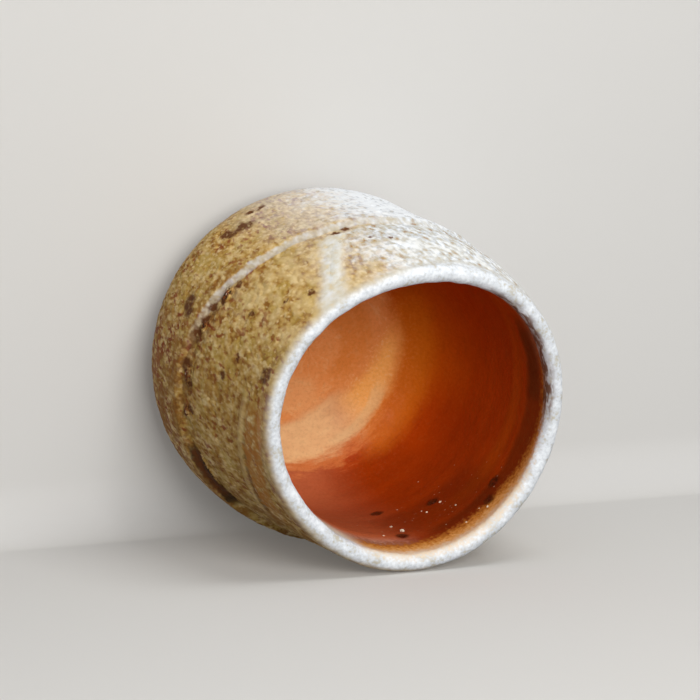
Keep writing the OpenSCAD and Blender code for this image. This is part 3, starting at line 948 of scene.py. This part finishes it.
def floor_tones(colours, base, angle, deep, streak, fine):
    """Tones of the hollow's floor and of the pale band that has pooled round it, with a painted sheen over
    the band, a painted highlight along its upper edge and painted glints in it
    """
    above = deep - (shader_wave(angle, 1, math.radians(210)) * 3.6 + 46.1)
    below = deep - (shader_wave(angle, 1, math.radians(135)) * 9.0 + 45.9)
    base = blend(rise(below, -2.0, 1.5), base, colours.orange)
    base = blend(rise(streak, 0.0, 0.16) * rise(below, -1.0, 1.0) * 0.22, base, colours.peach_and_sheen)
    base = blend(band(deep, 53.0, 58.0, 2.0) * toward(angle, 72, 16, 44) * 0.3, base, colours.peach_and_sheen)
    base = blend(band(deep, 53.0, 58.0, 2.0) * toward(angle, 196, 40, 80) * 0.45, base, colours.honey)
    shore = band(above + streak * 6.0, -1.8, 0.0, 1.8) * toward(angle, 104, 30, 46)
    base = blend(shore * 0.45, base, colours.orange)
    thin = rise(deep, 38.5, 43.0) * rise(below, 1.5, -1.0)
    base = blend(thin * toward(angle, 166, 36, 54) * 0.62, base, colours.honey)
    far = rise(deep, 45.5, 50.0) * rise(below, 2.5, -0.5) * toward(angle, 176, 38, 64)
    base = blend(far * 0.8, base, colours.orange)
    base = blend(far * rise(below, 0.0, -3.0) * toward(angle, 154, 20, 50) * 0.75, base, colours.apricot)
    # Pooled pale glaze round the floor, which also carries a painted sheen
    pool = rise(above + streak * 3.0, -1.6, 1.0) * rise(below, 1.2, -0.9) * (streak * 0.5 + 1.0)
    base = blend(pool * toward(angle, 80, 10, 64) * 0.9, base, colours.peach_and_sheen)
    # Painted highlight along the upper edge of the pooled band
    base = blend(band(above, 0.2, 1.4, 1.2) * toward(angle, 131, 12, 30) * 0.4, base, colours.ash_pale_and_highlight)
    # Painted glints in the pooled band
    return blend(rise(fine, 0.54, 0.70) * pool * toward(angle, 165, 30, 50) * 0.35, base, colours.peach_and_sheen)


def orange_glaze(form, colours):
    """Satin lining: a streaked orange floor, a pale pooled band with painted sheen, highlight and glints, a
    russet wall and a golden fringe
    """
    material, place = new_material("orange_glaze")
    angle, _ = around(place)
    way = kept(place, "way")
    wander = speckle(place, 6.0) - 0.5
    cloud = speckle(shift(place, 3, 7, 1), 3.0) - 0.5
    fine = speckle(place, 0.55, 2.0, 0.55)
    streak = speckle(drawn_round(place, way, 6.0), 1.2, 3.0, 0.6) - 0.5
    deep = way + wander * 1.4 + cloud * 0.8 + streak * 1.6
    base = blend(rise(streak, 0.0, -0.16) * 0.14, colours.russet, colours.sienna)
    base = wall_tones(colours, base, angle, way, wander, streak)
    base = floor_tones(colours, base, angle, deep, streak, fine)
    milky = toward(angle, 70, 14, 34) * rise(way + wander * 2.0, 7.0, 0.0)
    base = blend(milky, base, colours.cream)
    smoky = toward(angle, 216, 12, 26) * rise(way + wander * 2.0, 4.0, 0.0)
    base = blend(smoky * 0.55, base, colours.bark)
    over, gilt = gilding(colours, place, angle, way * -0.7)
    base = blend(rise(over, -2.2, 0.2) * toward(angle, *FRINGE_SPAN), base, gilt)
    spots = np.array(wall_places(form, IRON, 0.0, 0.0))
    middles = inside_points(form, spots[:, 0], spots[:, 1], 0.0) / MM
    base = blend(marks(ragged(place, 0.9, 0.8), middles, [1.3] * len(IRON)) * 0.8, base, colours.iron)
    specks = place.node("ShaderNodeTexVoronoi", None, {"Vector": place, "Scale": 1 / 1.3}, "Distance")
    peppered = rise(specks, 0.14, 0.09) * rise(cloud, -0.04, 0.06)
    peppered = peppered * toward(angle, 115, 26, 44) * band(way, 4.0, 20.0, 6.0)
    base = blend(peppered * 0.4, base, colours.feldspar)
    base = blend(rise(fine, 0.52, 0.34) * 0.10, base, colours.sienna)
    base = blend(rise(fine, 0.52, 0.70) * (rise(way, 42.0, 48.0) * 0.07 + 0.02), base, colours.peach_and_sheen)
    glaze(base, cloud * 0.3 + 0.42, fine, depth=0.05, specular=0.06)
    return material


def cream_run(form, colours):
    """Smooth run of melted ash that thins out at its sides"""
    material, place = new_material("cream_run")
    angle, z = around(place)
    cloud = speckle(place, 1.6, 2.0)
    ash, _ = ash_colour(form, colours, place)
    aside = run_gap(form, z, angle)
    base = blend(rise(aside + (cloud - 0.5) * 2.0, 1.4, 2.4), melted_ash(colours, place), ash)
    glaze(base, rise(cloud, 0.4, 0.6) * 0.1 + 0.5, cloud, depth=0.04)
    return material


def scorched_ash(form, colours):
    """Dark crust that breaks up into the ash at its rim"""
    material, place = new_material("scorched_ash")
    fleck = speckle(place, 0.6, 3.0, 0.6)
    ash, _ = ash_colour(form, colours, place)
    angle, _ = around(place)
    crust = ramp(
        fleck, (0.36, colours.scorch), (0.46, colours.stain_and_shade), (0.57, colours.ash_rust), (0.66, colours.ledge))
    crust = blend(toward(angle, LONG_CRUST_AT, 12, 20) * 0.85, crust, colours.scorch)
    rim = rise(kept(place, "rim") + (fleck - 0.5) * 2.2, 0.45, 0.85)
    glaze(blend(rim * 0.9, crust, ash), rise(fleck, 0.3, 0.7) * 0.3 + 0.5, fleck, depth=0.2, specular=0.08)
    return material


def iron_glaze(colours):
    """Melted dark iron"""
    material, place = new_material("iron")
    fleck = speckle(place, 0.7, 3.0, 0.6)
    base = ramp(fleck, (0.45, colours.iron), (0.8, colours.sienna))
    glaze(base, rise(fleck, 0.3, 0.7) * 0.15 + 0.35, fleck, depth=0.05, specular=0.15)
    return material


def feldspar_glass(colours):
    """Melted white grain"""
    material, place = new_material("feldspar")
    fleck = speckle(place, 0.4, 3.0, 0.6)
    base = ramp(fleck, (0.35, colours.cream), (0.55, colours.feldspar))
    glaze(base, rise(fleck, 0.3, 0.7) * 0.15 + 0.2, fleck, depth=0.05)
    return material


def bare_clay(colours):
    """Matt unglazed stoneware with iron-rich flashes"""
    material, place = new_material("bare_clay")
    fleck = speckle(place, 0.7, 5.0, 0.65)
    flash = speckle(place, 9.0, 3.0)
    base = ramp(fleck, (0.36, colours.clay_dark), (0.5, colours.clay), (0.68, colours.ash_beige))
    base = blend(rise(flash, 0.45, 0.65) * 0.6, base, colours.clay_dark)
    glaze(base, rise(fleck, 0.3, 0.7) * 0.15 + 0.75, fleck, depth=0.25)
    return material


class GUINOMI_OT_clay_wall(bpy.types.Operator):
    """Throw the clay wall and floor"""

    bl_idname = "guinomi.clay_wall"
    bl_label = "Clay Wall"
    bl_options = {"REGISTER", "UNDO"}

    def execute(self, context):
        form, colours = context.scene.guinomi_form, context.scene.guinomi_colours
        under = even_steps([(0, form.foot_h), (form.base_d / 2, form.foot_h)], 0.6 * MM)
        outside = even_steps(outer_line(form, form.ash_t), 1.2 * MM)
        inside = [lip_line(form, form.lip_coat_t)[1:-1], hollow_line(form, form.lining_t)]
        rest = even_steps(np.concatenate(inside), 1.2 * MM)
        piece = throw_piece(
            form, "clay_wall", under, np.concatenate([outside, rest]), columns=180,
            relief=clay_relief, ledged=len(under) + len(outside), closed=False)
        finish_piece(piece, "clay_wall", bare_clay(colours))
        return {"FINISHED"}


class GUINOMI_OT_foot_ring(bpy.types.Operator):
    """Trim the foot ring"""

    bl_idname = "guinomi.foot_ring"
    bl_label = "Foot Ring"
    bl_options = {"REGISTER", "UNDO"}

    def execute(self, context):
        form, colours = context.scene.guinomi_form, context.scene.guinomi_colours
        outer, inner, bend = form.foot_d / 2, form.foot_d / 2 - form.foot_w, form.foot_round
        turn = np.linspace(0, math.pi / 2, 8)
        section = np.concatenate([
            [(inner, form.foot_h)],
            np.stack([inner + bend - bend * np.cos(turn), bend - bend * np.sin(turn)], axis=1),
            np.stack([outer - bend + bend * np.sin(turn), bend - bend * np.cos(turn)], axis=1),
            [(outer, form.foot_h)]])
        piece = spin_section("foot_ring", even_steps(section, 0.35 * MM), columns=240)
        piece.data.attributes.remove(piece.data.attributes["row"])
        points = points_of(piece)
        angle, radius = np.arctan2(points[:, 1], points[:, 0]), np.hypot(points[:, 0], points[:, 1])
        rub = clay_relief(form, points, angle, radius, points[:, 2])
        move_points(piece, points * (1 + rub / outer)[:, None] * (1, 1, 0) + points * (0, 0, 1))
        finish_piece(piece, "foot_ring", bare_clay(colours))
        return {"FINISHED"}


class GUINOMI_OT_ash_coat(bpy.types.Operator):
    """Coat the outside with rough ash"""

    bl_idname = "guinomi.ash_coat"
    bl_label = "Ash Coat"
    bl_options = {"REGISTER", "UNDO"}

    def execute(self, context):
        form, colours = context.scene.guinomi_form, context.scene.guinomi_colours
        shown = even_steps(outer_line(form, 0.0), 0.35 * MM)
        hidden = even_steps(outer_line(form, form.ash_t), 4 * MM)[::-1]
        piece = throw_piece(
            form, "ash_coat", shown, hidden, columns=600,
            relief=ash_relief, ledged=len(shown) + len(hidden))
        finish_piece(piece, "ash_coat", ash_glaze(form, colours))
        return {"FINISHED"}


class GUINOMI_OT_lip_coat(bpy.types.Operator):
    """Coat the lip with granular white"""

    bl_idname = "guinomi.lip_coat"
    bl_label = "Lip Coat"
    bl_options = {"REGISTER", "UNDO"}

    def execute(self, context):
        form, colours = context.scene.guinomi_form, context.scene.guinomi_colours
        shown = even_steps(lip_line(form, 0.0), 0.3 * MM)
        hidden = even_steps(lip_line(form, form.lip_coat_t), 0.8 * MM)[::-1]
        piece = throw_piece(form, "lip_coat", shown, hidden, columns=600, relief=lip_relief)
        finish_piece(piece, "lip_coat", pale_glaze(form, colours))
        return {"FINISHED"}


class GUINOMI_OT_lining(bpy.types.Operator):
    """Pour the lining"""

    bl_idname = "guinomi.lining"
    bl_label = "Lining"
    bl_options = {"REGISTER", "UNDO"}

    def execute(self, context):
        form, colours = context.scene.guinomi_form, context.scene.guinomi_colours
        shown = even_steps(hollow_line(form, 0.0), 0.45 * MM)
        hidden = even_steps(hollow_line(form, form.lining_t), 2.5 * MM)[::-1]
        piece = throw_piece(form, "lining", shown, hidden, columns=400, relief=lining_relief)
        finish_piece(piece, "lining", orange_glaze(form, colours))
        return {"FINISHED"}


class GUINOMI_OT_ash_run(bpy.types.Operator):
    """Lay the run of melted ash from the ledge to the lip"""

    bl_idname = "guinomi.ash_run"
    bl_label = "Ash Run"
    bl_options = {"REGISTER", "UNDO"}

    def execute(self, context):
        form, colours = context.scene.guinomi_form, context.scene.guinomi_colours
        bpy.ops.object.select_all(action="DESELECT")
        bpy.ops.mesh.primitive_grid_add(x_subdivisions=30, y_subdivisions=120, size=2.0)
        piece = bpy.context.active_object
        piece.name = piece.data.name = "ash_run"
        points = points_of(piece)
        across, along = points[:, 0], (points[:, 1] + 1) / 2
        low, high = run_ends(form)
        z = low + (high - low) * along
        half = form.run_w * (0.46 + 0.12 * ease(2 * along))
        centre = form.run_at + form.run_turn * along
        radius = body_radius(form, z)
        angle = centre + half * across / radius
        sway = grain(np.stack([across * 0, z, z * 0], axis=1), 6 * MM, 2)
        melt = ease(along / 0.15) * ease((1 - along) / 0.15)
        crown = form.run_t * (1 - across ** 2) * (0.8 + 0.3 * sway) * melt - 0.38 * MM
        move_points(piece, outside_points(form, angle, z, crown))
        bpy.ops.object.modifier_add(type="SOLIDIFY")
        piece.modifiers[-1].thickness = 0.25 * MM
        piece.modifiers[-1].offset = -1.0
        bpy.ops.object.modifier_apply(modifier=piece.modifiers[-1].name)
        bpy.ops.object.shade_smooth()
        finish_piece(piece, "ash_run", cream_run(form, colours))
        return {"FINISHED"}


def lay_lumps(form, name, places, surface, sunk):
    """Copy one rounded lump to many places on a surface, roughen each copy and join them.

    A place is a direction, a height, a length, a width and a thickness."""
    copies = []
    for index, (angle, z, long, wide, thick) in enumerate(places):
        bpy.ops.object.select_all(action="DESELECT")
        if index == 0:
            bpy.ops.mesh.primitive_ico_sphere_add(subdivisions=4, radius=1.0)
            unit = points_of(bpy.context.active_object)
            keep_values(bpy.context.active_object, "rim", np.hypot(unit[:, 0], unit[:, 1]))
        else:
            copies[0].select_set(True)
            bpy.context.view_layer.objects.active = copies[0]
            bpy.ops.object.duplicate(linked=False)
        piece = bpy.context.active_object
        bite = 1 + 0.45 * grain(unit * 1.3 + 3.7 * index, 1.0, 3)
        turn = angle + unit[:, 0] * bite * long / 2 / body_radius(form, z)
        lift = unit[:, 2] * thick * (1 + 0.3 * grain(unit + 5.1 * index, 0.7, 2)) - sunk
        move_points(piece, surface(form, turn, z + unit[:, 1] * bite * wide / 2, lift))
        copies.append(piece)
    for piece in copies:
        piece.select_set(True)
    bpy.context.view_layer.objects.active = copies[0]
    bpy.ops.object.join()
    piece = bpy.context.active_object
    piece.name = piece.data.name = name
    bpy.ops.object.mode_set(mode="EDIT")
    bpy.ops.mesh.select_all(action="SELECT")
    bpy.ops.mesh.normals_make_consistent(inside=False)
    bpy.ops.object.mode_set(mode="OBJECT")
    bpy.ops.object.shade_smooth()
    return piece


class GUINOMI_OT_scorch_crusts(bpy.types.Operator):
    """Fuse the scorched crusts to the ledge"""

    bl_idname = "guinomi.scorch_crusts"
    bl_label = "Scorch Crusts"
    bl_options = {"REGISTER", "UNDO"}

    def execute(self, context):
        form, colours = context.scene.guinomi_form, context.scene.guinomi_colours
        places = []
        for at, widths in SCORCHES:
            angle = math.radians(at)
            z = float(ledge_height(form, angle)) + (form.ledge_w + form.scorch_w) / 2
            places.append((angle, z, widths * form.scorch_w, form.scorch_w, form.scorch_t))
        piece = lay_lumps(form, "scorch_crusts", places, outside_points, sunk=0.0)
        finish_piece(piece, "scorch_crusts", scorched_ash(form, colours))
        return {"FINISHED"}


class GUINOMI_OT_iron_spots(bpy.types.Operator):
    """Melt the iron spots into the lining"""

    bl_idname = "guinomi.iron_spots"
    bl_label = "Iron Spots"
    bl_options = {"REGISTER", "UNDO"}

    def execute(self, context):
        form, colours = context.scene.guinomi_form, context.scene.guinomi_colours
        places = wall_places(form, IRON, form.iron_d, form.iron_t)
        piece = lay_lumps(form, "iron_spots", places, inside_points, sunk=0.05 * MM)
        finish_piece(piece, "iron_spots", iron_glaze(colours))
        return {"FINISHED"}


class GUINOMI_OT_feldspar_grains(bpy.types.Operator):
    """Set the feldspar grains in the lining"""

    bl_idname = "guinomi.feldspar_grains"
    bl_label = "Feldspar Grains"
    bl_options = {"REGISTER", "UNDO"}

    def execute(self, context):
        form, colours = context.scene.guinomi_form, context.scene.guinomi_colours
        places = wall_places(form, GRAINS, form.grain_d, form.grain_t)
        piece = lay_lumps(form, "feldspar_grains", places, inside_points, sunk=0.05 * MM)
        finish_piece(piece, "feldspar_grains", feldspar_glass(colours))
        return {"FINISHED"}


def seen_rays(start):
    """1 for rays that show the backdrop, 0 for rays that carry its light to the cup"""
    rays = start.node("ShaderNodeLightPath").socket.node.outputs
    camera, glossy, passed = (
        Value(start.tree, rays[name]) for name in ("Is Camera Ray", "Is Glossy Ray", "Is Transmission Ray"))
    return camera.math("MAXIMUM", glossy).math("MAXIMUM", passed)


def softbox(name, at, aim, size, power):
    """A square area lamp that faces a point"""
    bpy.ops.object.light_add(type="AREA", location=at)
    lamp = bpy.context.active_object
    lamp.name = lamp.data.name = name
    lamp.rotation_euler = (Vector(aim) - Vector(at)).to_track_quat("-Z", "Y").to_euler()
    lamp.data.size = size
    lamp.data.energy = power


class GUINOMI_OT_stage(bpy.types.Operator):
    """Set the backdrop, the lamps and the camera"""

    bl_idname = "guinomi.stage"
    bl_label = "Stage"
    bl_options = {"REGISTER", "UNDO"}

    def execute(self, context):
        stage, scene = context.scene.guinomi_stage, context.scene
        scene.view_settings.view_transform = "Standard"
        self.backdrop(stage, scene.guinomi_colours)
        self.light(stage, scene)
        bpy.ops.object.camera_add(location=stage.camera_at, rotation=stage.camera_turn)
        camera = context.active_object
        camera.data.lens = stage.lens
        camera.data.clip_start, camera.data.clip_end = 0.01, 10.0
        scene.camera = camera
        return {"FINISHED"}

    def backdrop(self, stage, colours):
        """A sheet that is flat under the cup and rises at its side, see-through from behind"""
        bpy.ops.object.select_all(action="DESELECT")
        bpy.ops.mesh.primitive_plane_add(size=2 * stage.reach, location=(0, stage.wall_at - stage.reach, 0))
        sheet = bpy.context.active_object
        sheet.name = sheet.data.name = "backdrop"
        bpy.ops.object.transform_apply()
        back = [v.index for v in sheet.data.vertices if v.co.y > 0]
        select_points(sheet, back)
        bpy.ops.mesh.select_mode(type="EDGE")
        rise_up = Vector((0, -math.sin(stage.wall_lean), math.cos(stage.wall_lean))) * stage.reach
        bpy.ops.mesh.extrude_region_move(TRANSFORM_OT_translate={"value": rise_up})
        select_points(sheet, back)
        bpy.ops.mesh.select_mode(type="EDGE")
        bpy.ops.mesh.bevel(offset=stage.sweep, segments=16)
        bpy.ops.object.mode_set(mode="OBJECT")
        bpy.ops.object.shade_smooth()
        material, place = new_material("paper")
        behind = place.node("ShaderNodeNewGeometry", output="Backfacing")
        seen = seen_rays(place)
        slope = parts(place.node("ShaderNodeNewGeometry", output="Normal"))
        # Painted shade: the rounded sweep is toned down where both lamps light it
        corner = slope[1] * slope[2] * -0.5
        tone = blend(seen - corner.math("MAXIMUM", 0.0), colours.paper_shade, colours.paper)
        matt = place.node("ShaderNodeBsdfDiffuse", None, {"Color": tone})
        even = place.node("ShaderNodeEmission", None, {"Color": colours.paper})
        front = place.node("ShaderNodeMixShader", None, {0: seen * stage.even, 1: matt, 2: even})
        clear = place.node("ShaderNodeBsdfTransparent")
        through = seen * behind + (1.0 - seen) * stage.leak
        mixed = place.node("ShaderNodeMixShader", None, {0: through, 1: front, 2: clear})
        mixed.node("ShaderNodeOutputMaterial", None, {"Surface": mixed})
        sheet.data.materials.append(material)

    def light(self, stage, scene):
        """A softbox over the cup's side, one over its mouth, and an even light all round"""
        cup = (0, 0, 0.03)
        softbox("side_lamp", at=(-0.16, -0.57, 0.08), aim=cup, size=0.34, power=stage.side_lamp)
        softbox("mouth_lamp", at=(0.06, -0.25, 0.56), aim=cup, size=0.3, power=stage.mouth_lamp)
        world = bpy.data.worlds.new("studio")
        world.use_nodes = True
        world.node_tree.nodes.clear()
        start = Value(world.node_tree, None)
        seen = seen_rays(start)
        sky = start.node(
            "ShaderNodeBackground", None, {"Color": (1.0, 0.99, 0.97, 1.0), "Strength": stage.fill})
        paper = start.node("ShaderNodeBackground", None, {"Color": scene.guinomi_colours.paper})
        mixed = start.node("ShaderNodeMixShader", None, {0: seen, 1: sky, 2: paper})
        mixed.node("ShaderNodeOutputWorld", None, {"Surface": mixed})
        scene.world = world


OPERATORS = (
    GUINOMI_OT_clay_wall, GUINOMI_OT_foot_ring, GUINOMI_OT_ash_coat, GUINOMI_OT_lip_coat, GUINOMI_OT_lining,
    GUINOMI_OT_ash_run, GUINOMI_OT_scorch_crusts, GUINOMI_OT_iron_spots, GUINOMI_OT_feldspar_grains,
    GUINOMI_OT_stage,
)


class GUINOMI_PT_cup(bpy.types.Panel):
    """Sidebar panel that lists the cup's pieces and its stage"""

    bl_idname = "GUINOMI_PT_cup"
    bl_label = "Guinomi Sake Cup"
    bl_space_type = "VIEW_3D"
    bl_region_type = "UI"
    bl_category = "Guinomi"

    def draw(self, context):
        for operator in OPERATORS:
            self.layout.operator(operator.bl_idname)


CLASSES = (GuinomiForm, GuinomiColours, GuinomiStage, *OPERATORS, GUINOMI_PT_cup)


def register():
    for cls in CLASSES:
        bpy.utils.register_class(cls)
    bpy.types.Scene.guinomi_form = bpy.props.PointerProperty(type=GuinomiForm)
    bpy.types.Scene.guinomi_colours = bpy.props.PointerProperty(type=GuinomiColours)
    bpy.types.Scene.guinomi_stage = bpy.props.PointerProperty(type=GuinomiStage)


def unregister():
    del bpy.types.Scene.guinomi_stage
    del bpy.types.Scene.guinomi_colours
    del bpy.types.Scene.guinomi_form
    for cls in reversed(CLASSES):
        bpy.utils.unregister_class(cls)


def main():
    register()
    bpy.ops.guinomi.clay_wall()
    bpy.ops.guinomi.foot_ring()
    bpy.ops.guinomi.ash_coat()
    bpy.ops.guinomi.lip_coat()
    bpy.ops.guinomi.lining()
    bpy.ops.guinomi.ash_run()
    bpy.ops.guinomi.scorch_crusts()
    bpy.ops.guinomi.iron_spots()
    bpy.ops.guinomi.feldspar_grains()
    bpy.ops.guinomi.stage()


if __name__ == "__main__":
    main()
